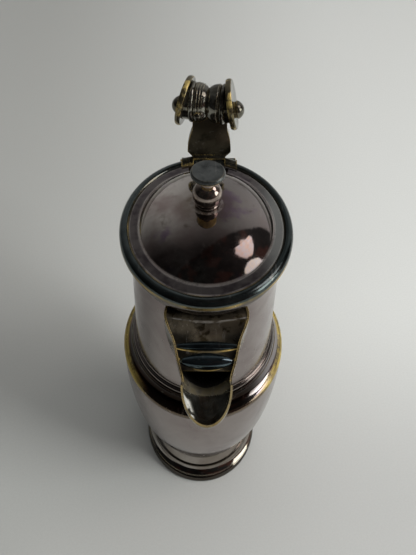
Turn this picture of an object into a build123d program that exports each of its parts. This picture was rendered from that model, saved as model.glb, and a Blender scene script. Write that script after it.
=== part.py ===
from build123d import *
import math
import os

# Driving dimensions in millimetres. A radius of an oval piece is its half width:
# every oval is deeper front to back than it is wide, by depth_ratio.
depth_ratio = 1.2
sheet = 1.2
lid_gap = 0.3
pin_clearance = 0.05
solder = 0.05              # film of solder between curved faces that are joined
seam = 0.02                # and between level faces

# Levels above the surface that the jug stands on
foot_rim_top = 4.0
foot_band_top = 10.6
floor_bottom = 16.1
foot_top = 17.3
belly_top = 86.0
girdle_top = 89.0
cove_bottom = 94.6
cove_top = 96.6
neck_bead_top = 99.6
band_bottom = 160.6
neck_top = 166.9
mouth_z = 167.9
lid_bottom = mouth_z + lid_gap
lid_sheet_bottom = 170.9
lid_edge_z = 170.3
lid_top = 186.1             # the level seat under the finial

# Half widths
foot_rim_r = 31.8
foot_joint_r = 25.8
floor_r = 25.6
belly_r = 41.8
girdle_inner_r = 41.0
shoulder_inner_r = 39.6
neck_r = 35.0
neck_bore_r = neck_r - sheet
band_r = 38.4
lid_r = 40.0
lid_moulding_inner_r = 35.6
lid_ledge_r = 34.4          # the dome's edge rests on this ledge
bezel_r = 33.3
bezel_bottom = 162.9

# Spout, in front of the neck. The lip is a bowl whose rim lies level.
lip_z = 146.3
lip_start_y = -70.2
spout_reach = 90.9
lip_half_width = 11.1
lip_depth = 9.5
spout_wall = 0.9

# Hinge, on the back of the mouth, a little to the right of the middle
hinge_x = 1.7
hinge_y = 51.6
hinge_z = 165.3
knuckle_r = 2.7
pin_r = 1.1
hinge_half_length = 13.5
lid_knuckle_half_length = 8.0
block_top = 162.2
block_back = hinge_y + knuckle_r

# Thumbpiece: two discs and a scroll spool on a tongue. The spool's right end stands further
# forward, and the discs spread towards the front and the bottom.
thumb_x = 0.8
thumb_y = 53.0
thumb_z = 201.4
thumb_yaw = 10.0
thumb_tilt = -2.0
disc_r = 12.15
disc_splay = 12.0
disc_offset = 10.0
disc_thickness = 2.6
tongue_thickness = 2.8

# Handle, behind the body; it reaches as far back as the spout reaches forward
handle_width = 13.0
handle_depth = 9.0
pad_back = 52.6
pad_z = 72.0

# Finial, a turned piece on the lid
finial_ball_r = 6.7
finial_seat_r = 4.9
collar_height = 1.2
finial_button_r = 7.7
button_height = 3.7
finial_top = 205.2
stud_r = 1.6


def turn(outline):
    """Turn a closed half profile, drawn as (radius, height), about the upright axis."""
    return revolve(Plane.XZ * make_face(outline), Axis.Z)


def turn_oval(outline):
    """Turn a half profile and stretch it front to back into an oval."""
    return scale(turn(outline), by=(1, depth_ratio, 1))


def upright_oval(radius, bottom, top):
    """A straight oval block between two levels."""
    return Pos(0, 0, bottom) * extrude(Ellipse(radius, radius * depth_ratio), top - bottom)


def across(outline, half_length):
    """Extrude a closed profile, drawn as (y, z), to both sides of the middle plane."""
    return extrude(Plane.YZ * make_face(outline), half_length, both=True)


def foot_rim():
    """The rim that the jug stands on, turned a little too deep and cut off level."""
    spare = 1.0
    outline = Polyline((29.2, -spare), (31.6, -spare), (31.6, 0))
    outline += ThreePointArc((31.6, 0), (foot_rim_r + 0.1, 1.5), (31.3, 3.6))
    outline += Polyline((31.3, 3.6), (30.9, foot_rim_top), (29.2, foot_rim_top), (29.2, -spare))
    return turn_oval(outline) - Box(100, 100, spare, align=(Align.CENTER, Align.CENTER, Align.MAX))


def foot_band():
    """A steep wall that spreads into a hollow slope over the rim."""
    bottom = foot_rim_top + seam
    outline = Polyline((29.2, bottom), (31.0, bottom), (31.2, 5.4))
    outline += ThreePointArc((31.2, 5.4), (29.95, 6.65), (28.95, 8.2))
    outline += Polyline((28.95, 8.2), (28.6, foot_band_top), (27.4, foot_band_top), (29.2, bottom))
    return turn_oval(outline)


def foot_cove():
    bottom = foot_band_top + seam
    outline = Polyline((27.4, bottom), (28.6, bottom), (28.6, 11.2), (27.75, 11.5))
    outline += ThreePointArc((27.75, 11.5), (26.85, 14.4), (26.1, foot_top))
    outline += Polyline((26.1, foot_top), (floor_r, foot_top), (floor_r, 14.0), (27.4, bottom))
    return turn_oval(outline)


def floor_plate():
    return upright_oval(floor_r - solder, floor_bottom, foot_top)


def belly_outline(inset):
    """The belly's curve down from the girdle to the foot joint, moved inwards by inset."""
    top, middle, foot = (belly_r, belly_top), (38.2, 49.3), (foot_joint_r, foot_top + seam)
    upper = ThreePointArc(*[(r - inset, z) for r, z in (top, (40.97, 68.3), middle)])
    return upper + TangentArc(upper @ 1, (foot[0] - inset, foot[1]), tangent=upper % 1)


def belly_shell():
    outer = belly_outline(0)
    inner = belly_outline(sheet)
    outline = outer + inner
    outline += Line(outer @ 0, inner @ 0)
    outline += Line(outer @ 1, inner @ 1)
    return turn_oval(outline)


def belly_block():
    """The solid that the belly's outer face bounds, used to seat the handle pad on solder."""
    outer = belly_outline(-solder)
    outline = outer + Polyline(outer @ 1, (0, foot_top + seam), (0, belly_top), outer @ 0)
    return turn_oval(outline)


def girdle_wire():
    inner = girdle_inner_r + solder
    bottom = belly_top + seam
    outline = Polyline((inner, bottom), (41.7, bottom))
    outline += ThreePointArc((41.7, bottom), (42.0, 87.7), (inner, girdle_top + 0.2))
    outline += Line((inner, girdle_top + 0.2), (inner, bottom))
    return turn_oval(outline)


def shoulder_cove():
    socket_r = neck_r + solder
    outline = Polyline((34.2, cove_bottom), (socket_r, cove_bottom), (socket_r, cove_top))
    outline += Polyline((socket_r, cove_top), (36.9, cove_top), (37.2, 95.7))
    outline += ThreePointArc((37.2, 95.7), (38.4, 91.4), (girdle_inner_r, girdle_top))
    bottom = belly_top + seam
    outline += Polyline((girdle_inner_r, girdle_top), (girdle_inner_r, bottom), (shoulder_inner_r, bottom))
    outline += ThreePointArc((shoulder_inner_r, bottom), (36.6, 89.8), (34.2, cove_bottom))
    return turn_oval(outline)


def neck_bead():
    inner = neck_r + solder
    bottom = cove_top + seam
    outline = Polyline((inner, bottom), (36.2, bottom))
    outline += ThreePointArc((36.2, bottom), (36.6, 97.6), (36.0, 98.5))
    outline += ThreePointArc((36.0, 98.5), (35.4, 98.8), (inner, neck_bead_top))
    outline += Line((inner, neck_bead_top), (inner, bottom))
    return turn_oval(outline)


def mouth_band():
    inner = neck_r + solder
    outline = Polyline((inner, band_bottom), (36.0, band_bottom), (36.2, 161.3), (36.9, 161.5))
    outline += ThreePointArc((36.9, 161.5), (band_r, 164.6), (37.7, mouth_z))
    outline += Polyline((37.7, mouth_z), (neck_bore_r, mouth_z), (neck_bore_r, neck_top + seam),
                        (inner, neck_top + seam), (inner, band_bottom))
    return turn_oval(outline)


# The spout's sections stand upright at these distances in front of the axis.
# Each is a half oval: (y, half width, level of the side walls' top, level of the bottom).
spout_stations = [
    (-30.0, 20.6, 160.6, 105.0),
    (-42.0, 18.6, 160.0, 116.0),
    (-48.5, 17.2, 158.6, 121.9),
    (-55.0, 14.7, 157.0, 127.2),
    (-60.0, 13.5, 155.6, 130.9),
    (-65.5, 11.8, 151.0, 134.5),
    (lip_start_y, lip_half_width, lip_z, lip_z - lip_depth),
]
throat_top = 154.4


def half_oval(y, half_width, top, bottom, inset, rise):
    """One spout section: a half oval hanging from the line between the wall tops."""
    width = half_width - inset
    depth = top - bottom - inset
    arc = EllipticalCenterArc((0, top), width, depth, start_angle=180, arc_size=180)
    edges = arc + Polyline(arc @ 1, (width, top + rise), (-width, top + rise), arc @ 0)
    return Plane(origin=(0, y, 0), x_dir=(1, 0, 0), z_dir=(0, -1, 0)) * make_face(edges)


def spout_block(inset, rise):
    return loft([half_oval(*station, inset, rise) for station in spout_stations])


def lip_block(inset):
    """A quarter of an egg: the lip's bowl below its level rim."""
    length = spout_reach + lip_start_y
    egg = scale(Sphere(1), by=(lip_half_width - inset, length - inset, lip_depth - inset))
    keep = Pos(0, -spout_reach / 2, -lip_depth / 2) * Box(2 * spout_reach, spout_reach, lip_depth)
    return Pos(0, lip_start_y - seam, lip_z) * (egg & keep)


def neck_room():
    """The room that the neck and its mouth moulding take, with a film of solder round them."""
    return (upright_oval(neck_r + solder, foot_top, mouth_z)
            + upright_oval(band_r + solder, band_bottom, mouth_z))


def spout_throat():
    channel = spout_block(0, 0.3) - spout_block(spout_wall, 6.0)
    return channel - neck_room()


def spout_lip():
    return lip_block(0) - lip_block(spout_wall)


# The hood's profile runs from inside the neck to its front lip
hood_back_y = -30.0
hood_top_z = 159.6
hood_lip = (-64.2, 148.8)


def hood_top_line():
    """The hood's upper outline, out from the neck: a cove and then the bed of the two reeds."""
    line = Line((hood_back_y, hood_top_z), (-46.0, hood_top_z))
    line += ThreePointArc((-46.0, hood_top_z), (-49.6, 156.5), (-55.0, 155.8))
    return line + Polyline((-55.0, 155.8), (-59.0, 154.9), (-65.5, 149.76), hood_lip)


def hood_plate():
    under = Polyline(hood_lip, (-58.4, 153.2), (-48.0, throat_top), (hood_back_y, throat_top),
                     (hood_back_y, hood_top_z))
    return across(hood_top_line() + under, 25)


def below_hood_top():
    """All the room under the hood's upper outline, which the reeds stay out of."""
    floor_z = hood_lip[1] - 30
    sides = Polyline(hood_lip, (hood_lip[0], floor_z), (hood_back_y, floor_z), (hood_back_y, hood_top_z))
    return across(hood_top_line() + sides, 25)


def spout_hood():
    plate = hood_plate() & spout_block(spout_wall + solder, 6.0)
    return plate - neck_room()


def reed(y, z, radius, half_length):
    """A spindle that lies across the spout, thick in the middle and narrow at both ends."""
    tip_r = 0.9
    outline = Line((-half_length, 0), (-half_length, tip_r))
    outline += ThreePointArc((-half_length, tip_r), (0, radius), (half_length, tip_r))
    outline += Polyline((half_length, tip_r), (half_length, 0), (-half_length, 0))
    return Pos(0, y, z) * revolve(make_face(outline), Axis.X)


def spout_reeds():
    """Two reeds on the hood, each ending just inside the spout's walls."""
    bed = Pos(0, 0, seam) * below_hood_top()
    rear = reed(-56.6, 155.6, 2.2, 13.1) - bed
    front = reed(-62.1, 152.2, 3.8, 11.7) - bed
    return rear, front


def neck_tube():
    bottom = cove_bottom + seam
    tube = upright_oval(neck_r, bottom, neck_top) - upright_oval(neck_bore_r, bottom, neck_top)
    below_hood = Pos(0, 0, throat_top) * Box(100, 200, 100, align=(Align.CENTER, Align.CENTER, Align.MAX))
    return tube - (spout_block(spout_wall, 6.0) & below_hood)


def hinge_block():
    base = Polyline((40.0, 150.5), (43.5, 150.5))
    base += ThreePointArc((43.5, 150.5), (48.5, 153.2), (block_back, 153.6))
    base += Polyline((block_back, 153.6), (block_back, block_top), (40.0, block_top), (40.0, 150.5))
    bar = Polyline((43.0, 158.4), (52.6, 158.4), (block_back, 160.0), (block_back, block_top),
                   (43.0, block_top), close=True)
    block = across(base, handle_width / 2 + 1.5) + Pos(hinge_x, 0, 0) * across(bar, hinge_half_length)
    post = Pos(hinge_y, (hinge_z + block_top) / 2) * Rectangle(2 * knuckle_r, hinge_z - block_top)
    ear = Plane.YZ * (Pos(hinge_y, hinge_z) * Circle(knuckle_r) + post)
    ear_length = hinge_half_length - lid_knuckle_half_length - lid_gap
    for side in (-1, 1):
        middle = hinge_x + side * (hinge_half_length - ear_length / 2)
        block += Pos(middle, 0, 0) * extrude(ear, ear_length / 2, both=True)
    return block - neck_room() - hinge_rod(pin_r, 2 * hinge_half_length)


def hinge_rod(radius, length):
    return Pos(hinge_x, hinge_y, hinge_z) * Rot(0, 90, 0) * Cylinder(radius, length)


def hinge_pin():
    pin = hinge_rod(pin_r, 2 * hinge_half_length)
    for side in (-1, 1):
        pin += Pos(side * (hinge_half_length + 0.4), 0, 0) * hinge_rod(1.8, 0.8)
    return pin


handle_line = Spline(
    (block_back, 157.8), (69.0, 157.2), (81.5, 147.6), (86.46, 129.0), (81.0, 107.5), (68.0, 90.0),
    (50.0, 76.5), tangents=[(1, 0), (-0.9, -0.5)])


def handle_section(t, width, depth):
    """An oval cut square across the handle's middle line."""
    y, z = (handle_line @ t).X, (handle_line @ t).Y
    direction = handle_line % t
    plane = Plane(origin=(0, y, z), x_dir=(1, 0, 0), z_dir=(0, direction.X, direction.Y))
    return plane * Ellipse(width / 2, depth / 2)


def before_pad():
    """The room in front of the pad's back face, where the handle and its tail are cut off."""
    return Pos(0, pad_back, pad_z) * Box(60, 40, 60, align=(Align.CENTER, Align.MAX, Align.CENTER))


def handle_scroll():
    """A solid grip, stoutest at its middle and narrower at its lower end."""
    sections = []
    for step in range(11):
        t = step / 10
        swell = math.sin(math.pi * t)
        width = handle_width * (1 + 0.12 * swell - 0.22 * t)
        depth = handle_depth * (0.84 + 0.16 * swell)
        sections.append(handle_section(t, width, depth))
    return loft(sections) - before_pad()


def pad_block():
    """The oval pad between the belly and the handle's lower end, before the belly is cut away."""
    face = Plane(origin=(0, pad_back, pad_z), x_dir=(-1, 0, 0), z_dir=(0, 1, 0)) * Ellipse(8.5, 12.5)
    return extrude(face, -8)


def handle_pad():
    return pad_block() - belly_block()


def handle_tail():
    """The small curl on the pad under the handle's lower end."""
    curl = Spline((pad_back, 66.8), (58.0, 62.6), (64.4, 61.4), (68.2, 65.4),
                  tangents=[(0.9, -0.8), (0.1, 1)])
    sections = []
    for step in range(6):
        t = step / 5
        point, direction = curl @ t, curl % t
        plane = Plane(origin=(0, point.X, point.Y), x_dir=(1, 0, 0), z_dir=(0, direction.X, direction.Y))
        sections.append(plane * Ellipse(4.6 - 1.4 * t, 3.6 - 1.5 * t))
    return loft(sections) + Pos(0, 67.6, 66.8) * Sphere(3.3) - before_pad()


def dome_sheet():
    """The domed lid and the sloping ring round it, with a hole for the finial's stud."""
    seat_r = 5.4
    edge_r = lid_moulding_inner_r - 2 * solder
    under = lid_sheet_bottom + seam
    crown = ThreePointArc((seat_r, lid_top), (12.0, 184.8), (22.0, 180.8))
    shoulder = TangentArc(crown @ 1, (30.6, 173.4), tangent=crown % 1)
    ring = Polyline(shoulder @ 1, (31.0, 173.1), (edge_r, 172.2))
    crown_under = ThreePointArc((seat_r, lid_top - sheet), (11.8, 183.75), (21.6, 179.8))
    shoulder_under = TangentArc(crown_under @ 1, (30.8, under), tangent=crown_under % 1)
    inner = crown_under + shoulder_under + Polyline(shoulder_under @ 1, (edge_r, under), (edge_r, 172.2))
    middle = Polyline((seat_r, lid_top), (0, lid_top), (0, lid_top - sheet), (seat_r, lid_top - sheet))
    stud_hole = Cylinder(stud_r + solder, 3 * lid_top)
    return turn_oval(crown + shoulder + ring + inner + middle) - stud_hole


def lid_moulding(grow=0.0):
    """The lid's rim, a broad bead; grow makes it larger, as the tool that seats the hinge leaf."""
    inner, side, top = lid_moulding_inner_r, lid_r + grow, lid_edge_z + grow
    outline = Polyline((inner, lid_sheet_bottom), (lid_ledge_r, lid_sheet_bottom), (lid_ledge_r, lid_bottom),
                       (side - 0.6, lid_bottom), (side, lid_bottom + 0.6), (side, top))
    outline += ThreePointArc((side, top), (side - 0.8, top + 1.9), (side - 2.4, top + 2.9))
    outline += ThreePointArc((side - 2.4, top + 2.9), (side - 3.5, top + 2.75), (inner, top + 2.0))
    outline += Line((inner, top + 2.0), (inner, lid_sheet_bottom))
    return turn_oval(outline)


def lid_bezel():
    inner_r = bezel_r - 1.1
    outline = Polyline((bezel_r - 0.3, bezel_bottom), (bezel_r, bezel_bottom + 0.5),
                       (bezel_r, lid_sheet_bottom), (inner_r, lid_sheet_bottom), (inner_r, bezel_bottom),
                       close=True)
    return turn_oval(outline)


def lid_leaf():
    """The strap from the lid's rim to the middle knuckle, with two wings that lie over the rim."""
    strap = Polyline((44.6, 174.0), (48.2, 173.6), (48.2, 171.3), (51.2, 171.3), (53.3, 169.2),
                     (block_back, hinge_z), (hinge_y - knuckle_r, hinge_z), (hinge_y - knuckle_r, 168.4),
                     (44.6, 168.4), close=True)
    leaf = Pos(hinge_x, 0, 0) * across(strap, lid_knuckle_half_length)
    leaf += hinge_rod(knuckle_r, 2 * lid_knuckle_half_length)
    wing_length = hinge_half_length - lid_knuckle_half_length + 0.4
    for side in (-1, 1):
        room = Box(wing_length, 10.2, 6.0, align=(Align.CENTER, Align.MAX, Align.MIN))
        middle = hinge_x + side * (hinge_half_length - wing_length / 2)
        leaf += lid_moulding(0.9) & Pos(middle, 48.2, 169.6) * room
    under_rim = upright_oval(lid_r + solder, lid_bottom - 1, lid_bottom + 1)
    leaf -= under_rim + lid_moulding(solder) + hinge_rod(pin_r + pin_clearance, 2 * hinge_half_length)
    return leaf


def thumb_place():
    """The thumbpiece's own place, in which its spool lies along X."""
    return Pos(thumb_x, thumb_y, thumb_z) * Rot(0, 0, -thumb_yaw) * Rot(0, thumb_tilt, 0)


def disc_place(side):
    """A disc's place: its Z points outwards, its X to the back."""
    splay = math.radians(disc_splay)
    outwards = (side * math.cos(splay), 0.6 * math.sin(splay), 0.8 * math.sin(splay))
    plane = Plane(origin=(side * disc_offset, 0, 0), x_dir=(0, 1, 0), z_dir=outwards)
    return thumb_place() * plane.location


def disc_profile(radius, thickness, edge):
    outline = Polyline((0, 0), (radius - edge, 0))
    outline += ThreePointArc((radius - edge, 0), (radius, thickness / 2), (radius - edge, thickness))
    outline += Polyline((radius - edge, thickness), (0, thickness), (0, 0))
    return turn(outline)


def thumb_disc(side):
    return disc_place(side) * disc_profile(disc_r, disc_thickness, 0.5)


def thumb_boss(side):
    """A domed button on a short neck, a little below and before the disc's middle."""
    height, brim_z, brim_r = 4.3, 1.2, 4.4
    centre = (height ** 2 - brim_z ** 2 - brim_r ** 2) / (2 * (height - brim_z))
    dome_radius = height - centre
    half_way = dome_radius * math.sqrt(0.5)
    button = Polyline((0, seam), (3.9, seam), (3.9, 0.7), (brim_r, brim_z))
    button += ThreePointArc((brim_r, brim_z), (half_way, centre + half_way), (0, height))
    button += Line((0, height), (0, seam))
    below, before = 2.3, 1.5
    return disc_place(side) * Pos(-before, -side * below, disc_thickness) * turn(button)


def thumb_spool():
    outline = Line((0, 0), (0, 7.0))
    outline += ThreePointArc((0, 7.0), (2.8, 8.9), (5.8, 9.3))
    outline += Polyline((5.8, 9.3), (6.1, 8.5))
    outline += ThreePointArc((6.1, 8.5), (7.3, 9.7), (8.6, 8.6))
    outline += Polyline((8.6, 8.6), (14.0, 8.6), (14.0, 0), (0, 0))
    half = revolve(make_face(outline), Axis.X)
    spool = thumb_place() * (half + mirror(half, Plane.YZ))
    for side in (-1, 1):
        beyond = Box(60, 60, 30, align=(Align.CENTER, Align.CENTER, Align.MIN))
        spool -= disc_place(side) * beyond
    return spool


def thumb_tongue():
    top = thumb_z
    foot = 171.3 + seam
    side_line = ThreePointArc((48.2 + seam, foot), (48.6, 184.0), (51.0, top))
    side_line += Line((51.0, top), (51.0 + tongue_thickness, top))
    side_line += ThreePointArc((51.0 + tongue_thickness, top), (48.6 + tongue_thickness, 184.0), (51.0, foot))
    side_line += Line((51.0, foot), (48.2 + seam, foot))
    front = Polyline((-7.9, foot), (-8.3, 172.6), (-10.6, 175.4))
    front += ThreePointArc((-10.6, 175.4), (-10.1, 182.0), (-8.4, 188.5))
    front += Polyline((-8.4, 188.5), (-8.3, top), (8.3, top), (8.4, 188.5))
    front += ThreePointArc((8.4, 188.5), (10.1, 182.0), (10.6, 175.4))
    front += Polyline((10.6, 175.4), (8.3, 172.6), (7.9, foot), (-7.9, foot))
    plate = across(side_line, 20) & Pos(hinge_x, 0, 0) * extrude(Plane.XZ * make_face(front), -80)
    plate -= thumb_spool() + thumb_disc(-1) + thumb_disc(1)
    return plate.solids().sort_by(SortBy.VOLUME)[-1]


def scroll_bead():
    """The small bead where the left scroll ends, on the front of the spool."""
    bead = Pos(-4.6, 44.9, 200.0) * Sphere(1.9)
    return bead - thumb_spool() - thumb_tongue()


def finial_collar():
    bore_r = stud_r + solder
    bottom, top = lid_top + seam, lid_top + collar_height
    outline = Polyline((bore_r, bottom), (5.1, bottom))
    outline += ThreePointArc((5.1, bottom), (5.4, (bottom + top) / 2), (finial_seat_r, top))
    outline += Polyline((finial_seat_r, top), (bore_r, top), (bore_r, bottom))
    return turn(outline)


def finial_ball():
    """A ball on its stud, with a short neck under the button."""
    seat = lid_top + collar_height
    centre = seat + math.sqrt(finial_ball_r ** 2 - finial_seat_r ** 2)
    stem_r, waist_r, flare_r = 3.0, 2.8, 3.6
    neck_bottom = centre + math.sqrt(finial_ball_r ** 2 - stem_r ** 2)
    neck_top = finial_top - button_height
    stud_bottom = seat - 8.0
    outline = Polyline((0, stud_bottom), (stud_r, stud_bottom), (stud_r, seat), (finial_seat_r, seat))
    outline += ThreePointArc((finial_seat_r, seat), (finial_ball_r, centre), (stem_r, neck_bottom))
    neck_middle = (neck_bottom + neck_top) / 2
    outline += ThreePointArc((stem_r, neck_bottom), (waist_r, neck_middle), (flare_r, neck_top))
    outline += Polyline((flare_r, neck_top), (0, neck_top), (0, stud_bottom))
    return turn(outline)


def finial_button():
    bottom = finial_top - button_height
    edge_r = finial_button_r - 0.5
    outline = Polyline((0, bottom), (4.2, bottom), (edge_r, bottom + 1.2))
    middle = bottom + 2.4
    outline += ThreePointArc((edge_r, bottom + 1.2), (finial_button_r, middle), (edge_r, finial_top - 0.2))
    outline += Polyline((edge_r, finial_top - 0.2), (7.0, finial_top), (0, finial_top), (0, bottom))
    return turn(outline)


def finial_nut():
    under = lid_top - sheet - seam
    nut = extrude(RegularPolygon(4.2, 6) - Circle(stud_r + solder), -2.6)
    return Pos(0, 0, under) * nut


def save(name, shape):
    export_step(shape, os.path.join("parts", name + ".step"))


def main():
    os.makedirs("parts", exist_ok=True)
    rear_reed, front_reed = spout_reeds()
    pieces = {
        "foot_rim": foot_rim(),
        "foot_band": foot_band(),
        "foot_cove": foot_cove(),
        "floor_plate": floor_plate(),
        "belly_shell": belly_shell(),
        "girdle_wire": girdle_wire(),
        "shoulder_cove": shoulder_cove(),
        "neck_bead": neck_bead(),
        "neck_tube": neck_tube(),
        "mouth_band": mouth_band(),
        "spout_throat": spout_throat(),
        "spout_lip": spout_lip(),
        "spout_hood": spout_hood(),
        "spout_rear_reed": rear_reed,
        "spout_front_reed": front_reed,
        "hinge_block": hinge_block(),
        "hinge_pin": hinge_pin(),
        "handle_scroll": handle_scroll(),
        "handle_pad": handle_pad(),
        "handle_tail": handle_tail(),
        "lid_dome": dome_sheet(),
        "lid_moulding": lid_moulding(),
        "lid_bezel": lid_bezel(),
        "lid_leaf": lid_leaf(),
        "thumb_tongue": thumb_tongue(),
        "thumb_spool": thumb_spool(),
        "thumb_disc_left": thumb_disc(-1),
        "thumb_disc_right": thumb_disc(1),
        "thumb_boss_left": thumb_boss(-1),
        "thumb_boss_right": thumb_boss(1),
        "scroll_bead": scroll_bead(),
        "finial_collar": finial_collar(),
        "finial_ball": finial_ball(),
        "finial_button": finial_button(),
        "finial_nut": finial_nut(),
    }
    for name, shape in pieces.items():
        save(name, shape)


main()
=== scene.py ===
import math
import random

import bmesh
import bpy
from mathutils import Matrix, Vector


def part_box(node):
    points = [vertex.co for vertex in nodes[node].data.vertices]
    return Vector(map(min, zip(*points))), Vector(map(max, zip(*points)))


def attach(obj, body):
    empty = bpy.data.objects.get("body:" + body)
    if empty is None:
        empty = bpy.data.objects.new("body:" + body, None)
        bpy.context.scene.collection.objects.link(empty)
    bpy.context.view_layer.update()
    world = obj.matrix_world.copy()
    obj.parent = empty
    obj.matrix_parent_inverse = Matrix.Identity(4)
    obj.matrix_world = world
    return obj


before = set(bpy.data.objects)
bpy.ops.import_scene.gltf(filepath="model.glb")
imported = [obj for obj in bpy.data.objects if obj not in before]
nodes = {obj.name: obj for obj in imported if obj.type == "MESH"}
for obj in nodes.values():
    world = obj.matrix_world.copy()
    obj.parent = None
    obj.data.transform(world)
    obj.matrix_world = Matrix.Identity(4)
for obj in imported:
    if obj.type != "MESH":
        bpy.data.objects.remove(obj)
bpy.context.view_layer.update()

# The view: two sizes in pixels, the sensor's height in millimetres, a place in metres, turns in degrees
IMAGE_HEIGHT = 555
FOCAL_PIXELS = 834.0
SENSOR = 36.0
CAMERA_PLACE = (-0.00805, -0.2717, 0.4425)
PITCH, YAW, ROLL = 48.405, 2.019, 1.913

BACKDROP = (0.42, 0.425, 0.41)
FLOOR_SIZE = 6.0
FLOOR_MIDDLE = (0.0, 0.4, 0.0)
WINDOW_DISTANCE = 1.5
WINDOW_CENTRE = Vector((0, 0, 0.17))
LAMP_AIM = Vector((0, 0, 0.1))

# How much deeper than wide the jug's ovals are
DEPTH_RATIO = 1.2

# Places that the wear follows, in metres; an oval's radius is counted along its short side
FINIAL_SEAT_R = 0.0066
DOME_FOOT_R = 0.0312
RING_OUTER_R = 0.0353
BEAD_INNER_R = 0.0359
CREST_Y = -0.0462
REED_GAP_Y = -0.0592
REED_FRONT_Y = -0.0652
BELLY_FOOT_Z = 0.0174
LEDGE_Z = 0.0109
SLOPE_EDGE_Z = 0.0054
DISC_MIDDLES = ((-0.0103, 0.0551, 0.2012), (0.0119, 0.0512, 0.2020))

# The solder seam, in metres, with its two angles in degrees
SEAM_BEADS = 27
SEAM_START, SEAM_SWEEP = 18, 144
SEAM_INSET = 0.0011
SEAM_DEPTH = 0.0002
BEAD_SIZES = (0.00022, 0.00042)

# The thumbpiece's middle and turns, and its spool's raised lines as (distance along it, radius)
THUMB_MIDDLE = (0.0008, 0.053, 0.2014)
THUMB_TURN, THUMB_LEAN = math.radians(-10), math.radians(-2)
SPOOL_LINE_R = 0.00028
SPOOL_LINE_PLACES = ((-0.0022, 0.0086), (-0.0034, 0.0090), (-0.0047, 0.0092), (0.0049, 0.0092))

# Colours that several materials share
BRASS = (0.62, 0.44, 0.14)
WIRE_BRASS = (0.55, 0.42, 0.12)
SILVER, SILVER_DARK = (0.365, 0.325, 0.308), (0.262, 0.215, 0.207)


# Materials

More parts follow.
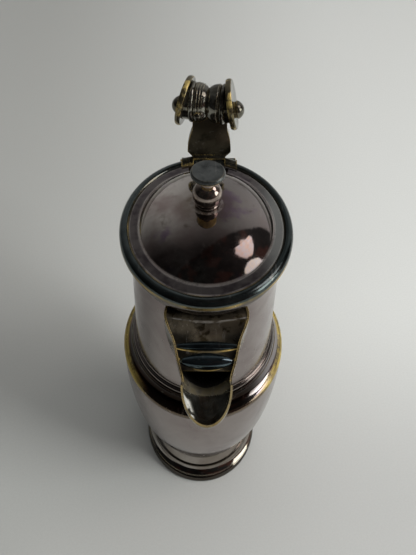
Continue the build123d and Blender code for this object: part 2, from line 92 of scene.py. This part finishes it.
class Graph:
    """A short way to build a material's or a world's nodes."""

    def __init__(self, tree):
        self.tree = tree
        self.tree.nodes.clear()
        is_world = tree == getattr(bpy.context.scene.world, "node_tree", None)
        coords = self.tree.nodes.new("ShaderNodeTexCoord")
        self.coords = coords.outputs["Generated" if is_world else "Object"]

    @classmethod
    def surface(cls, name):
        material = bpy.data.materials.new(name)
        material.use_nodes = True
        g = cls(material.node_tree)
        g.material = material
        g.shader = g.tree.nodes.new("ShaderNodeBsdfPrincipled")
        g.output = g.tree.nodes.new("ShaderNodeOutputMaterial")
        g.link(g.shader.outputs["BSDF"], g.output.inputs["Surface"])
        return g

    def link(self, source, target):
        self.tree.links.new(source, target)

    def feed(self, value, socket):
        """Link a socket, or set its value; a colour gets its fourth number."""
        if isinstance(value, bpy.types.NodeSocket):
            self.link(value, socket)
        elif isinstance(value, tuple) and len(value) == 3 and socket.type == "RGBA":
            socket.default_value = (*value, 1.0)
        else:
            socket.default_value = value

    def math(self, operation, a, b=0.5, clamp=False):
        node = self.tree.nodes.new("ShaderNodeMath")
        node.operation = operation
        node.use_clamp = clamp
        self.feed(a, node.inputs[0])
        self.feed(b, node.inputs[1])
        return node.outputs[0]

    def vector_math(self, operation, *values):
        node = self.tree.nodes.new("ShaderNodeVectorMath")
        node.operation = operation
        for socket, value in zip(node.inputs, values):
            self.link(value, socket)
        return node.outputs["Value"]

    def product(self, first, *others):
        for other in others:
            first = self.math("MULTIPLY", first, other)
        return first

    def greatest(self, first, *others):
        for other in others:
            first = self.math("MAXIMUM", first, other)
        return first

    def mix(self, factor, a, b, blend="MIX"):
        node = self.tree.nodes.new("ShaderNodeMix")
        node.data_type = "RGBA"
        node.blend_type = blend
        self.feed(factor, node.inputs[0])
        self.feed(a, node.inputs[6])
        self.feed(b, node.inputs[7])
        return node.outputs[2]

    def ramp(self, value, low, high, to_low=0.0, to_high=1.0):
        """A soft step from one value at low to another at high; low may be the greater."""
        node = self.tree.nodes.new("ShaderNodeMapRange")
        node.interpolation_type = "SMOOTHSTEP"
        self.feed(value, node.inputs["Value"])
        node.inputs["From Min"].default_value = low
        node.inputs["From Max"].default_value = high
        node.inputs["To Min"].default_value = to_low
        node.inputs["To Max"].default_value = to_high
        return node.outputs["Result"]

    def place(self, scale=(1, 1, 1), turn=(0, 0, 0), move=(0, 0, 0)):
        node = self.tree.nodes.new("ShaderNodeMapping")
        node.inputs["Location"].default_value = move
        node.inputs["Rotation"].default_value = turn
        node.inputs["Scale"].default_value = scale
        self.link(self.coords, node.inputs["Vector"])
        return node.outputs["Vector"]

    def noise(self, scale, detail, rough, vector=None, distortion=0.0):
        node = self.tree.nodes.new("ShaderNodeTexNoise")
        node.inputs["Scale"].default_value = scale
        node.inputs["Detail"].default_value = detail
        node.inputs["Roughness"].default_value = rough
        node.inputs["Distortion"].default_value = distortion
        self.link(vector or self.coords, node.inputs["Vector"])
        return node.outputs["Fac"]

    def patchy(self, scale, low, high, least=0.0):
        """Clouds that cover more the lower the two limits are, and are nowhere under the least."""
        return self.ramp(self.noise(scale, 4.0, 0.6), low, high, least, 1.0)

    def axis(self, index):
        node = self.tree.nodes.new("ShaderNodeSeparateXYZ")
        self.link(self.coords, node.inputs[0])
        return node.outputs[index]

    def off_middle(self):
        """How far a point lies to the left or the right of the middle plane."""
        return self.math("ABSOLUTE", self.axis(0))

    def oval_radius(self, ratio=DEPTH_RATIO):
        """How far out a point lies, counted along the short side of the jug's oval."""
        across = self.math("POWER", self.axis(0), 2.0)
        along = self.math("POWER", self.math("DIVIDE", self.axis(1), ratio), 2.0)
        return self.math("SQRT", self.math("ADD", across, along))

    def line_at(self, value, place, half_width):
        """One at the place, falling to nothing a half width to either side."""
        away = self.math("ABSOLUTE", self.math("SUBTRACT", value, place))
        return self.ramp(away, half_width, half_width * 0.4)

    def edges(self, radius, low, high):
        """How near a sharp outer edge is: the rounded normal leans away from the flat one."""
        bevel = self.tree.nodes.new("ShaderNodeBevel")
        bevel.samples = 4
        bevel.inputs["Radius"].default_value = radius
        geometry = self.tree.nodes.new("ShaderNodeNewGeometry")
        lean = self.vector_math("DOT_PRODUCT", bevel.outputs[0], geometry.outputs["Normal"])
        return self.ramp(lean, high, low)

    def bump(self, height, strength, distance):
        node = self.tree.nodes.new("ShaderNodeBump")
        node.inputs["Strength"].default_value = strength
        node.inputs["Distance"].default_value = distance
        self.link(height, node.inputs["Height"])
        return node.outputs["Normal"]


def scratches(g, seed):
    """Fine lines in three directions: noise that is drawn out along one axis."""
    fineness, stretch = 420.0, 14.0
    directions = []
    for step, turn in enumerate(((0.3, 0.9, 0.2), (1.2, 0.1, 1.1), (0.5, 1.9, 2.3))):
        drawn_out = g.place((1.0, 1.0 / stretch, 1.0), turn, (seed, step * 3.1, 0.7))
        directions.append(g.ramp(g.noise(fineness, 2.0, 0.6, drawn_out), 0.66, 0.74))
    return g.greatest(*directions)


def aged_metal(name, clean, tarnish, rough, blotch=45.0, brass=BRASS, wear=0.8, wear_radius=0.0009,
               wear_limits=(0.75, 0.985), scratch=0.5, film=0.0, film_colour=(0.10, 0.08, 0.06),
               tint=None, gild=None, dust_and_highlight=None, dust_and_highlight_colour=(0.17, 0.16, 0.145)):
    """Worn plate: cloudy ground and tarnish, bare brass on the edges, a dull film, scratches and pits.

    The tint, gild and dust functions add what lies at one place: a colour, bare brass, a dull patch; a tint
    may hold painted light or shade, and a dull patch may be a painted highlight.
    Film, dust, painted highlights and bare metal are partly dull, so that lamps light them; the rest mirrors
    the room.
    """
    g = Graph.surface(name)
    cloud = g.noise(blotch, 6.0, 0.6, distortion=0.6)
    broad = g.noise(blotch * 0.3, 2.0, 0.5)
    amount = g.ramp(g.math("ADD", g.product(cloud, 0.6), g.product(broad, 0.4)), 0.4, 0.65)
    colour = g.mix(amount, clean, tarnish)
    colour = g.mix(g.ramp(g.noise(blotch * 2.2, 4.0, 0.6), 0.35, 0.75, 0.0, 0.35), colour, tarnish)
    dull = g.product(g.patchy(blotch * 3.0, 0.35, 0.7, 0.25), film)
    colour = g.mix(dull, colour, film_colour)
    if tint:
        colour = tint(g, colour)
    # A dust patch may also be a painted highlight, dull so that lamps light it.
    if dust_and_highlight:
        dirt_and_highlight = dust_and_highlight(g)
        colour = g.mix(dirt_and_highlight, colour, dust_and_highlight_colour)
        dull = g.greatest(dull, dirt_and_highlight)
    bare = g.product(g.edges(wear_radius, *wear_limits), wear, g.patchy(160.0, 0.35, 0.6, 0.35))
    if gild:
        bare = g.greatest(bare, gild(g))
    colour = g.mix(bare, colour, brass)
    pits = g.product(g.ramp(g.noise(1100.0, 2.0, 0.5), 0.68, 0.78), 0.4)
    colour = g.mix(pits, colour, (0.03, 0.02, 0.015))
    lines = g.product(scratches(g, len(name) * 1.7), 0.3 * scratch)
    colour = g.mix(lines, colour, (0.55, 0.52, 0.48))
    dull = g.greatest(dull, g.product(lines, 0.5))
    g.feed(colour, g.shader.inputs["Base Color"])
    metallic = g.math("SUBTRACT", 1.0, g.product(bare, 0.45))
    metallic = g.math("SUBTRACT", metallic, g.product(dull, 0.9), clamp=True)
    g.feed(metallic, g.shader.inputs["Metallic"])
    roughness = g.math("ADD", g.ramp(cloud, 0.3, 0.75, *rough), g.product(lines, 0.4))
    roughness = g.math("ADD", roughness, g.product(bare, 0.15), clamp=True)
    g.feed(roughness, g.shader.inputs["Roughness"])
    relief = g.math("SUBTRACT", g.noise(70.0, 3.0, 0.5), g.product(lines, 0.05))
    g.feed(g.bump(relief, 0.25, 0.0004), g.shader.inputs["Normal"])
    return g.material


def dome_clouds_and_painted_light(g, colour):
    """Brown and purple clouds, painted paler on the left and painted shade in front, a stain under the
    finial, and a grey flat ring that is painted paler on the right.
    """
    # Painted light: the dome's tint is paler on the left than on the right.
    painted_pale_left_tint = g.mix(g.ramp(g.axis(0), -0.03, 0.03), (0.50, 0.47, 0.425), (0.285, 0.25, 0.235))
    cloud = g.mix(g.patchy(28.0, 0.42, 0.62), g.mix(0.8, colour, painted_pale_left_tint), (0.27, 0.215, 0.20))
    cloud = g.mix(g.patchy(46.0, 0.56, 0.66), cloud, (0.24, 0.18, 0.23))
    cloud = g.mix(g.patchy(190.0, 0.56, 0.8), cloud, (0.17, 0.14, 0.115))
    stain = g.product(g.ramp(g.oval_radius(1.0), 0.017, 0.006), g.patchy(220.0, 0.3, 0.6, 0.5), 0.75)
    cloud = g.mix(stain, cloud, (0.13, 0.09, 0.06))
    # Painted light and shade: the crown is lightened on the left and darkened in front.
    painted_light_left = g.ramp(g.axis(0), -0.03, 0.015, 1.7, 0.85)
    painted_shade_front = g.ramp(g.axis(1), -0.034, -0.004, 0.5, 1.0)
    crown = g.mix(1.0, cloud, g.product(painted_light_left, painted_shade_front), "MULTIPLY")
    ring = g.mix(g.patchy(120.0, 0.4, 0.65), (0.175, 0.155, 0.15), (0.085, 0.07, 0.075))
    # Painted light: the flat ring is paler on the right.
    ring = g.mix(g.ramp(g.axis(0), 0.022, 0.032, 0.0, 0.7), ring, (0.40, 0.41, 0.39))
    on_ring = g.ramp(g.oval_radius(), DOME_FOOT_R - 0.0004, DOME_FOOT_R + 0.0006)
    return g.mix(on_ring, crown, ring)


def dome_dust(g):
    """Polish that has dried in the corner round the dome's foot, beside the bead and under the finial."""
    foot = g.product(g.line_at(g.oval_radius(), DOME_FOOT_R, 0.0009), g.patchy(130.0, 0.3, 0.6, 0.3))
    beside_bead = g.product(g.line_at(g.oval_radius(), RING_OUTER_R, 0.0006), g.patchy(90.0, 0.35, 0.6, 0.2))
    seat = g.product(g.line_at(g.oval_radius(1.0), FINIAL_SEAT_R, 0.0012), g.patchy(300.0, 0.4, 0.6, 0.3))
    return g.product(g.greatest(foot, beside_bead, seat), 0.5)


def lid_bead_gild(g):
    """Two brass lines on the lid's bead: one outside on its lower edge, one inside near the ring."""
    radius = g.oval_radius()
    low = g.ramp(g.axis(2), 0.1706, 0.1701)
    outer = g.product(g.ramp(radius, 0.0395, 0.0399), low, g.patchy(60.0, 0.35, 0.55, 0.3))
    towards_front_left = g.math("SUBTRACT", g.product(g.axis(0), -1.0), g.axis(1))
    front_left = g.ramp(towards_front_left, -0.01, 0.02, 0.15, 1.0)
    inner = g.product(g.line_at(radius, BEAD_INNER_R, 0.00045), front_left, g.patchy(45.0, 0.4, 0.6, 0.2))
    return g.product(g.greatest(outer, inner), 0.65)


def lid_bead_painted_shade(g, colour):
    """Painted shade: the lid's bead is darker on the right, where it mirrors the window."""
    # Painted shade: darker on the right.
    return g.mix(g.ramp(g.axis(0), 0.024, 0.036, 0.0, 0.8), colour, (0.035, 0.045, 0.044))


def wire_gild(g):
    """The wire has lost its plate at both sides of the jug and keeps it in front."""
    return g.product(g.ramp(g.off_middle(), 0.027, 0.037), g.patchy(90.0, 0.3, 0.55, 0.45))


def hood_dust(g):
    """The hood's crest is worn pale, in a shallow curve from wall to wall."""
    bend = g.product(g.math("POWER", g.axis(0), 2.0), 8.0)
    crest = g.math("SUBTRACT", g.math("SUBTRACT", g.axis(1), CREST_Y), bend)
    return g.product(g.line_at(crest, 0.0, 0.0006), g.patchy(200.0, 0.35, 0.55, 0.2))


def hood_clouds_and_painted_shade(g, colour):
    """Brown clouds, painted shade in almost black corners beside the reeds, and a painted shadow under the
    lid.
    """
    cloud = g.mix(g.patchy(190.0, 0.5, 0.62), colour, (0.055, 0.042, 0.022))
    # Painted shade: the corners beside the reeds and the band under the lid's edge are darkened.
    corner = g.product(g.ramp(g.off_middle(), 0.003, 0.010), g.ramp(g.axis(1), -0.0465, -0.0520))
    painted_shadow_under_lid = g.ramp(g.axis(1), -0.0425, -0.0410, 0.0, 0.6)
    return g.mix(g.product(g.greatest(corner, painted_shadow_under_lid), 0.9), cloud, (0.012, 0.011, 0.009))


def hood_gild(g):
    """Bare brass round the bed of the reeds: a line between them, and a bow in front of the second."""
    bow = g.product(g.math("POWER", g.axis(0), 2.0), 26.0)
    between = g.line_at(g.math("SUBTRACT", g.axis(1), g.product(bow, 0.4)), REED_GAP_Y, 0.0005)
    between = g.product(between, g.ramp(g.off_middle(), 0.002, 0.010, 0.2, 0.9))
    before = g.product(g.line_at(g.math("SUBTRACT", g.axis(1), bow), REED_FRONT_Y, 0.0006), 0.8)
    return g.product(g.greatest(between, before), g.patchy(180.0, 0.3, 0.5, 0.4))


def lip_gild(g):
    """A thin bare line along the rim."""
    return g.product(g.ramp(g.axis(2), 0.1460, 0.14625, 0.0, 0.6), g.patchy(160.0, 0.3, 0.5, 0.4))


def lip_painted_reflection(g, colour):
    """A painted brown reflection down the middle of the lip."""
    middle = g.product(g.line_at(g.axis(0), 0.0005, 0.006), g.patchy(200.0, 0.35, 0.6, 0.3), 0.7)
    return g.mix(middle, colour, (0.15, 0.09, 0.045))


def lip_painted_highlight(g):
    """A painted highlight: a bright pale patch on the lip's left wall."""
    left = g.ramp(g.axis(0), -0.0042, -0.0062)
    upper_wall = g.product(g.ramp(g.axis(2), 0.1395, 0.1412), g.ramp(g.axis(2), 0.1452, 0.1444))
    length = g.product(g.ramp(g.axis(1), -0.0722, -0.0738), g.ramp(g.axis(1), -0.0862, -0.0845))
    return g.product(left, upper_wall, length, g.patchy(190.0, 0.38, 0.54))


def throat_gild(g):
    """The walls' upper edges are bare, the joint with the lip isn't."""
    behind_joint = g.ramp(g.axis(1), -0.0695, -0.0685)
    return g.product(g.edges(0.0009, 0.75, 0.98), behind_joint, g.patchy(160.0, 0.3, 0.5, 0.5))


def throat_dust(g):
    """Olive scale on the trough's floor, between the front reed and the seam."""
    inner = g.ramp(g.off_middle(), 0.0108, 0.0100)
    place = g.product(g.ramp(g.axis(1), -0.0615, -0.0640), g.ramp(g.axis(2), 0.1335, 0.1350))
    return g.product(inner, place, g.patchy(190.0, 0.3, 0.6, 0.45))


def tongue_tint(g, colour):
    """Black and pale olive blotches."""
    blotches = g.mix(g.patchy(110.0, 0.48, 0.66), colour, (0.022, 0.022, 0.014))
    return g.mix(g.product(g.patchy(170.0, 0.52, 0.66), 0.7), blotches, (0.085, 0.077, 0.052))


def disc_gild(g):
    """The rims of the thumbpiece's two discs, each about its own middle."""
    reach = [g.vector_math("LENGTH", g.place(move=tuple(-value for value in middle)))
             for middle in DISC_MIDDLES]
    rim = g.ramp(g.math("MINIMUM", *reach), 0.0115, 0.0119)
    return g.product(rim, g.patchy(170.0, 0.44, 0.62, 0.12))


def cove_clouds_and_painted_light(g, colour):
    """Red-brown clouds, painted paler on the right where the window's highlight falls, and an almost black
    corner of oxide beside the neck, painted less dark on the right.
    """
    clouds = g.mix(g.patchy(80.0, 0.5, 0.64), colour, (0.17, 0.06, 0.035))
    # Painted light: paler on the right, where the window's highlight falls.
    clouds = g.mix(g.ramp(g.axis(0), 0.018, 0.030), clouds, (0.40, 0.365, 0.37))
    corner = g.ramp(g.oval_radius(), 0.0396, 0.0384, 0.0, 0.92)
    # Painted light: the corner is less dark on the right, where the window's highlight falls.
    corner = g.product(corner, g.ramp(g.axis(0), 0.022, 0.034, 1.0, 0.35))
    return g.mix(corner, clouds, (0.012, 0.008, 0.006))


def cove_gild(g):
    """The cove's outer edge is bare where the wire beside it is."""
    side = g.ramp(g.off_middle(), 0.027, 0.037)
    return g.product(g.ramp(g.oval_radius(), 0.0390, 0.0400), side, g.patchy(120.0, 0.3, 0.55, 0.35))


def foot_dark_bands_and_painted_shadow(g, colour):
    """Darker bands under the belly and on the ledge, and a painted contact shadow on the foot beside the
    floor.
    """
    height = g.axis(2)
    under_belly, ledge = g.line_at(height, BELLY_FOOT_Z, 0.0016), g.line_at(height, LEDGE_Z, 0.0008)
    # The last step darkens the foot beside the floor as a painted contact shadow.
    dark_bands_and_painted_shadow = g.greatest(under_belly, ledge, g.ramp(height, 0.0042, 0.0034))
    return g.mix(g.product(dark_bands_and_painted_shadow, 0.85), colour, (0.035, 0.03, 0.022))


def foot_gild(g):
    """Bare metal along the lower edge of the foot's slope, most of it on the left."""
    edge = g.line_at(g.axis(2), SLOPE_EDGE_Z, 0.0005)
    side = g.ramp(g.axis(0), -0.022, 0.012, 0.75, 0.35)
    return g.product(edge, side, g.patchy(140.0, 0.3, 0.55, 0.4))


def band_tint(g, colour):
    """The mouth's band is darker on the left than on the right."""
    return g.mix(g.ramp(g.axis(0), -0.02, -0.036, 0.0, 0.7), colour, (0.09, 0.08, 0.07))


def button_gild(g):
    """The finial button's lower edge is bare."""
    return g.product(g.ramp(g.axis(2), 0.2036, 0.2030), g.patchy(150.0, 0.3, 0.55, 0.5))


body_silver = aged_metal("body_silver", SILVER, SILVER_DARK, (0.14, 0.26), wear=0.1)
neck_silver = aged_metal("neck_silver", SILVER, SILVER_DARK, (0.12, 0.24), wear=0.1, scratch=0.9)
foot_silver = aged_metal("foot_silver", (0.44, 0.41, 0.38), (0.28, 0.245, 0.21), (0.06, 0.14),
                         wear=0.3, tint=foot_dark_bands_and_painted_shadow, gild=foot_gild, brass=(0.46, 0.40, 0.24))
lid_plum = aged_metal("lid_plum", (0.35, 0.305, 0.29), (0.26, 0.21, 0.20), (0.05, 0.11),
                      wear=0.1, scratch=0.2, film=0.03, tint=dome_clouds_and_painted_light, dust_and_highlight=dome_dust)
rim_blue = aged_metal("rim_blue", (0.12, 0.142, 0.14), (0.045, 0.056, 0.056), (0.10, 0.2),
                      wear=0.15, film=0.06, film_colour=(0.04, 0.05, 0.05),
                      tint=lid_bead_painted_shade, gild=lid_bead_gild)
cove_brown = aged_metal("cove_brown", (0.10, 0.075, 0.06), (0.055, 0.033, 0.024), (0.08, 0.16),
                        wear=0.0, tint=cove_clouds_and_painted_light, gild=cove_gild, brass=WIRE_BRASS)
bead_grey = aged_metal("bead_grey", (0.26, 0.23, 0.21), (0.15, 0.12, 0.11), (0.10, 0.2), wear=0.0)
wire_brass = aged_metal("wire_brass", (0.20, 0.16, 0.12), (0.12, 0.08, 0.05), (0.16, 0.3),
                        wear=0.0, gild=wire_gild, brass=WIRE_BRASS)
band_pale = aged_metal("band_pale", (0.26, 0.235, 0.22), (0.15, 0.13, 0.12), (0.12, 0.25),
                       wear=0.3, film=0.1, tint=band_tint)
spout_brown = aged_metal("spout_brown", (0.27, 0.23, 0.17), (0.15, 0.12, 0.08), (0.22, 0.4),
                         wear=0.2, scratch=0.6, film=0.5, film_colour=(0.088, 0.073, 0.046),
                         tint=hood_clouds_and_painted_shade, gild=hood_gild, dust_and_highlight=hood_dust)
spout_outer = aged_metal("spout_outer", (0.30, 0.28, 0.25), (0.14, 0.12, 0.09), (0.14, 0.3),
                         wear=0.0, film=0.18, film_colour=(0.055, 0.05, 0.035),
                         gild=throat_gild, dust_and_highlight=throat_dust, dust_and_highlight_colour=(0.13, 0.11, 0.065))
# The pale patch colour given to the lip below is a painted highlight.
lip_green = aged_metal("lip_green", (0.42, 0.42, 0.37), (0.24, 0.23, 0.18), (0.05, 0.12),
                       wear=0.0, film=0.12, film_colour=(0.06, 0.055, 0.04),
                       tint=lip_painted_reflection, gild=lip_gild, dust_and_highlight=lip_painted_highlight, dust_and_highlight_colour=(0.72, 0.72, 0.66))
solder_grey = aged_metal("solder_grey", (0.60, 0.59, 0.55), (0.34, 0.32, 0.28), (0.2, 0.35), wear=0.0)
reed_teal = aged_metal("reed_teal", (0.11, 0.15, 0.17), (0.05, 0.065, 0.07), (0.08, 0.16),
                       film=0.06, film_colour=(0.03, 0.045, 0.05))
casting = {"clean": (0.185, 0.175, 0.14), "tarnish": (0.05, 0.045, 0.034), "rough": (0.10, 0.24),
           "blotch": 130.0, "wear": 1.0, "wear_limits": (0.7, 0.985),
           "film": 0.12, "film_colour": (0.04, 0.037, 0.026)}
cast_bronze = aged_metal("cast_bronze", **casting, wear_radius=0.0011)
disc_bronze = aged_metal("disc_bronze", **casting, gild=disc_gild, brass=(0.50, 0.38, 0.13))
scroll_silver = aged_metal("scroll_silver", (0.36, 0.35, 0.30), (0.07, 0.065, 0.05), (0.09, 0.2),
                           blotch=150.0, wear=0.4, film=0.1, film_colour=(0.05, 0.047, 0.035))
tongue_olive = aged_metal("tongue_olive", (0.16, 0.14, 0.095), (0.08, 0.065, 0.04), (0.25, 0.45),
                          wear=1.0, wear_limits=(0.7, 0.95), scratch=0.6, film=0.6,
                          film_colour=(0.052, 0.047, 0.030), tint=tongue_tint)
finial_plum = aged_metal("finial_plum", (0.42, 0.35, 0.31), (0.16, 0.12, 0.10), (0.05, 0.12),
                         blotch=130.0, wear=0.1, film=0.12, film_colour=(0.05, 0.04, 0.032))
button_blue = aged_metal("button_blue", (0.17, 0.18, 0.175), (0.05, 0.055, 0.055), (0.28, 0.42),
                         blotch=170.0, wear=0.3, film=0.5, film_colour=(0.03, 0.033, 0.032),
                         gild=button_gild)
inside_dark = aged_metal("inside_dark", (0.26, 0.22, 0.17), (0.10, 0.08, 0.06), (0.3, 0.5), film=0.3)

finish = (
    (body_silver, ("belly_shell", "handle_scroll", "handle_tail")),
    (neck_silver, ("neck_tube",)),
    (foot_silver, ("foot_rim", "foot_band", "foot_cove")),
    (lid_plum, ("lid_dome",)),
    (rim_blue, ("lid_moulding",)),
    (cove_brown, ("shoulder_cove",)),
    (bead_grey, ("neck_bead",)),
    (wire_brass, ("girdle_wire",)),
    (band_pale, ("mouth_band",)),
    (spout_brown, ("spout_hood",)),
    (spout_outer, ("spout_throat",)),
    (lip_green, ("spout_lip",)),
    (reed_teal, ("spout_rear_reed", "spout_front_reed")),
    (cast_bronze, ("hinge_block", "hinge_pin", "handle_pad", "lid_leaf", "thumb_boss_left",
                   "thumb_boss_right", "scroll_bead")),
    (disc_bronze, ("thumb_disc_left", "thumb_disc_right")),
    (scroll_silver, ("thumb_spool",)),
    (tongue_olive, ("thumb_tongue",)),
    (finial_plum, ("finial_collar", "finial_ball")),
    (button_blue, ("finial_button",)),
    (inside_dark, ("floor_plate", "lid_bezel", "finial_nut")),
)
for material, node_names in finish:
    for node_name in node_names:
        node = nodes[node_name]
        if not node.material_slots:
            node.data.materials.append(material)
        for slot in node.material_slots:
            slot.material = material


# Small pieces that are too fine for the solids

def finished(piece, material, body):
    """Give a small piece its material and the body that it moves with."""
    piece.data.materials.append(material)
    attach(piece, body)


def solder_seam():
    """Beads of solder along the joint of the spout's trough and its lip."""
    low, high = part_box("spout_lip")
    half_width, depth = high[0] - SEAM_INSET, high[2] - low[2] - SEAM_INSET
    flatten = Matrix.Scale(0.6, 4, (0, 1, 0))
    chance = random.Random(4)
    mesh = bmesh.new()
    for step in range(SEAM_BEADS):
        angle = math.radians(SEAM_START + SEAM_SWEEP * (step + 0.4 * chance.random()) / SEAM_BEADS)
        across, down = half_width * math.cos(angle), depth * math.sin(angle)
        place = Matrix.Translation((-across, high[1] - SEAM_DEPTH, high[2] - down))
        bmesh.ops.create_uvsphere(mesh, u_segments=10, v_segments=6,
                                  radius=chance.uniform(*BEAD_SIZES), matrix=place @ flatten)
    data = bpy.data.meshes.new("solder_seam")
    mesh.to_mesh(data)
    mesh.free()
    data.polygons.foreach_set("use_smooth", [True] * len(data.polygons))
    piece = bpy.data.objects.new("solder_seam", data)
    bpy.context.scene.collection.objects.link(piece)
    finished(piece, solder_grey, "body")


def spool_lines():
    """Fine raised lines round the thumbpiece's spool, three on the left lobe and one on the right."""
    spool = (Matrix.Translation(THUMB_MIDDLE) @ Matrix.Rotation(THUMB_TURN, 4, "Z")
             @ Matrix.Rotation(THUMB_LEAN, 4, "Y"))
    upright = Matrix.Rotation(math.pi / 2, 4, "Y")
    for number, (x, radius) in enumerate(SPOOL_LINE_PLACES, 1):
        bpy.ops.mesh.primitive_torus_add(major_segments=96, minor_segments=10, major_radius=radius,
                                         minor_radius=SPOOL_LINE_R)
        piece = bpy.context.object
        piece.name = f"spool_line_{number}"
        piece.matrix_world = spool @ Matrix.Translation((x, 0, 0)) @ upright
        bpy.ops.object.shade_smooth()
        finished(piece, scroll_silver, "lid")


solder_seam()
spool_lines()


# Floor, light and camera

def direction(azimuth, elevation):
    """The unit vector towards an azimuth, counted from the jug's back to its right, and an elevation."""
    turn, rise = math.radians(azimuth), math.radians(elevation)
    return Vector((math.sin(turn) * math.cos(rise), math.cos(turn) * math.cos(rise), math.sin(rise)))


def pale_floor():
    """Pale paper with painted light, lighter on the right, that fades into the backdrop far behind the jug.

    Its coordinates are counted from the floor's own middle.
    """
    bpy.ops.mesh.primitive_plane_add(size=FLOOR_SIZE, location=FLOOR_MIDDLE)
    floor = bpy.context.object
    floor.name = "floor"
    g = Graph.surface("floor_paper")
    # Painted light: the paper on the right is lighter, and lighter still further back.
    right = g.mix(g.ramp(g.axis(1), -0.46, -0.29), (0.57, 0.58, 0.56), (0.79, 0.81, 0.78))
    across = g.mix(g.ramp(g.axis(0), -0.16, 0.15), (0.495, 0.505, 0.48), right)
    fibre = g.ramp(g.noise(900.0, 3.0, 0.6), 0.3, 0.7, 0.96, 1.0)
    paper = g.mix(1.0, across, fibre, "MULTIPLY")
    rays = g.tree.nodes.new("ShaderNodeLightPath")
    far = g.product(g.ramp(g.oval_radius(1.0), 0.9, 1.9), rays.outputs["Is Camera Ray"])
    g.feed(g.mix(far, paper, (0.0, 0.0, 0.0)), g.shader.inputs["Base Color"])
    g.feed(BACKDROP, g.shader.inputs["Emission Color"])
    g.feed(far, g.shader.inputs["Emission Strength"])
    g.shader.inputs["Roughness"].default_value = 0.9
    floor.data.materials.append(g.material)


def room_light():
    """The room that the metal mirrors: a pale wall behind the jug, brighter to the right.

    To the right and in front it is dark, with brown patches. The camera sees a plain backdrop.
    """
    world = bpy.data.worlds.new("room")
    bpy.context.scene.world = world
    world.use_nodes = True
    g = Graph(world.node_tree)
    background = g.tree.nodes.new("ShaderNodeBackground")
    output = g.tree.nodes.new("ShaderNodeOutputWorld")
    g.link(background.outputs[0], output.inputs["Surface"])
    side, depth = g.axis(0), g.axis(1)
    wall = g.math("ADD", g.product(g.greatest(depth, 0.0), 0.30), 0.02)
    wall = g.product(wall, g.ramp(side, -0.98, -0.45, 0.42, 1.0), g.ramp(side, 0.15, 0.9, 1.0, 2.8))
    right_edge = g.ramp(g.math("SUBTRACT", side, g.product(depth, 1.43)), -0.04, 0.04)
    dark = g.math("ADD", g.product(g.greatest(side, 0.0), 0.045), 0.008)
    brown = g.mix(g.ramp(g.noise(3.4, 3.0, 0.5), 0.5, 0.6), (0.8, 0.8, 0.8), (2.4, 1.2, 1.0))
    room = g.mix(right_edge, wall, g.mix(1.0, brown, dark, "MULTIPLY"))
    rays = g.tree.nodes.new("ShaderNodeLightPath")
    g.feed(g.mix(rays.outputs["Is Camera Ray"], room, BACKDROP), background.inputs["Color"])


def soft_box(name, place, side, power):
    """A lamp that lights the paper and dull metal, and that bright metal doesn't mirror."""
    data = bpy.data.lights.new(name, "AREA")
    data.size = side
    data.energy = power
    lamp = bpy.data.objects.new(name, data)
    bpy.context.scene.collection.objects.link(lamp)
    lamp.location = place
    lamp.rotation_euler = (LAMP_AIM - Vector(place)).to_track_quat("-Z", "Y").to_euler()
    lamp.visible_glossy = False


def window_card(name, dark_bands_and_painted_shadow, first, second, strength):
    """A glowing pane that the polished metal mirrors; its corners are (azimuth, elevation) in degrees."""
    points = [WINDOW_CENTRE + WINDOW_DISTANCE * direction(*corner) for corner in dark_bands_and_painted_shadow]
    mesh = bpy.data.meshes.new(name)
    mesh.from_pydata(points, [], [tuple(range(len(points)))])
    card = bpy.data.objects.new(name, mesh)
    bpy.context.scene.collection.objects.link(card)
    g = Graph.surface(name)
    glow = g.tree.nodes.new("ShaderNodeEmission")
    g.feed(g.mix(g.patchy(15.0, 0.46, 0.54), first, second), glow.inputs["Color"])
    glow.inputs["Strength"].default_value = strength
    g.link(glow.outputs[0], g.output.inputs["Surface"])
    mesh.materials.append(g.material)


def camera():
    """Look down at the jug from in front, turned by the view's pitch, yaw and roll."""
    forward = direction(YAW, -PITCH)
    right = direction(YAW + 90, 0)
    up = right.cross(forward)
    roll = math.radians(ROLL)
    x_axis = right * math.cos(roll) + up * math.sin(roll)
    y_axis = up * math.cos(roll) - right * math.sin(roll)
    data = bpy.data.cameras.new("camera")
    data.sensor_fit = "VERTICAL"
    data.sensor_height = SENSOR
    data.lens = FOCAL_PIXELS / IMAGE_HEIGHT * SENSOR
    data.clip_start = 0.01
    view = bpy.data.objects.new("camera", data)
    bpy.context.scene.collection.objects.link(view)
    turn = Matrix((x_axis, y_axis, -forward)).transposed().to_4x4()
    view.matrix_world = Matrix.Translation(CAMERA_PLACE) @ turn
    bpy.context.scene.camera = view


pale_floor()
room_light()
soft_box("fill", (0.2, -0.3, 2.2), 1.8, 18.7)
soft_box("key", (1.42, -0.57, 1.05), 0.8, 24.5)
window_card("upper_window",
            ((65, 36), (66, 44), (70, 52), (84, 57), (95, 55), (99, 46), (96, 35), (88, 28), (76, 31)),
            (1.0, 0.80, 0.70), (0.90, 0.92, 1.0), 3.3)
window_card("lower_window", ((84, 3), (112, 2), (114, 22), (108, 29), (102, 30), (94, 27), (87, 17)),
            (1.0, 0.97, 0.86), (0.88, 0.94, 1.0), 4.2)
camera()
bpy.context.scene.view_settings.view_transform = "Standard"
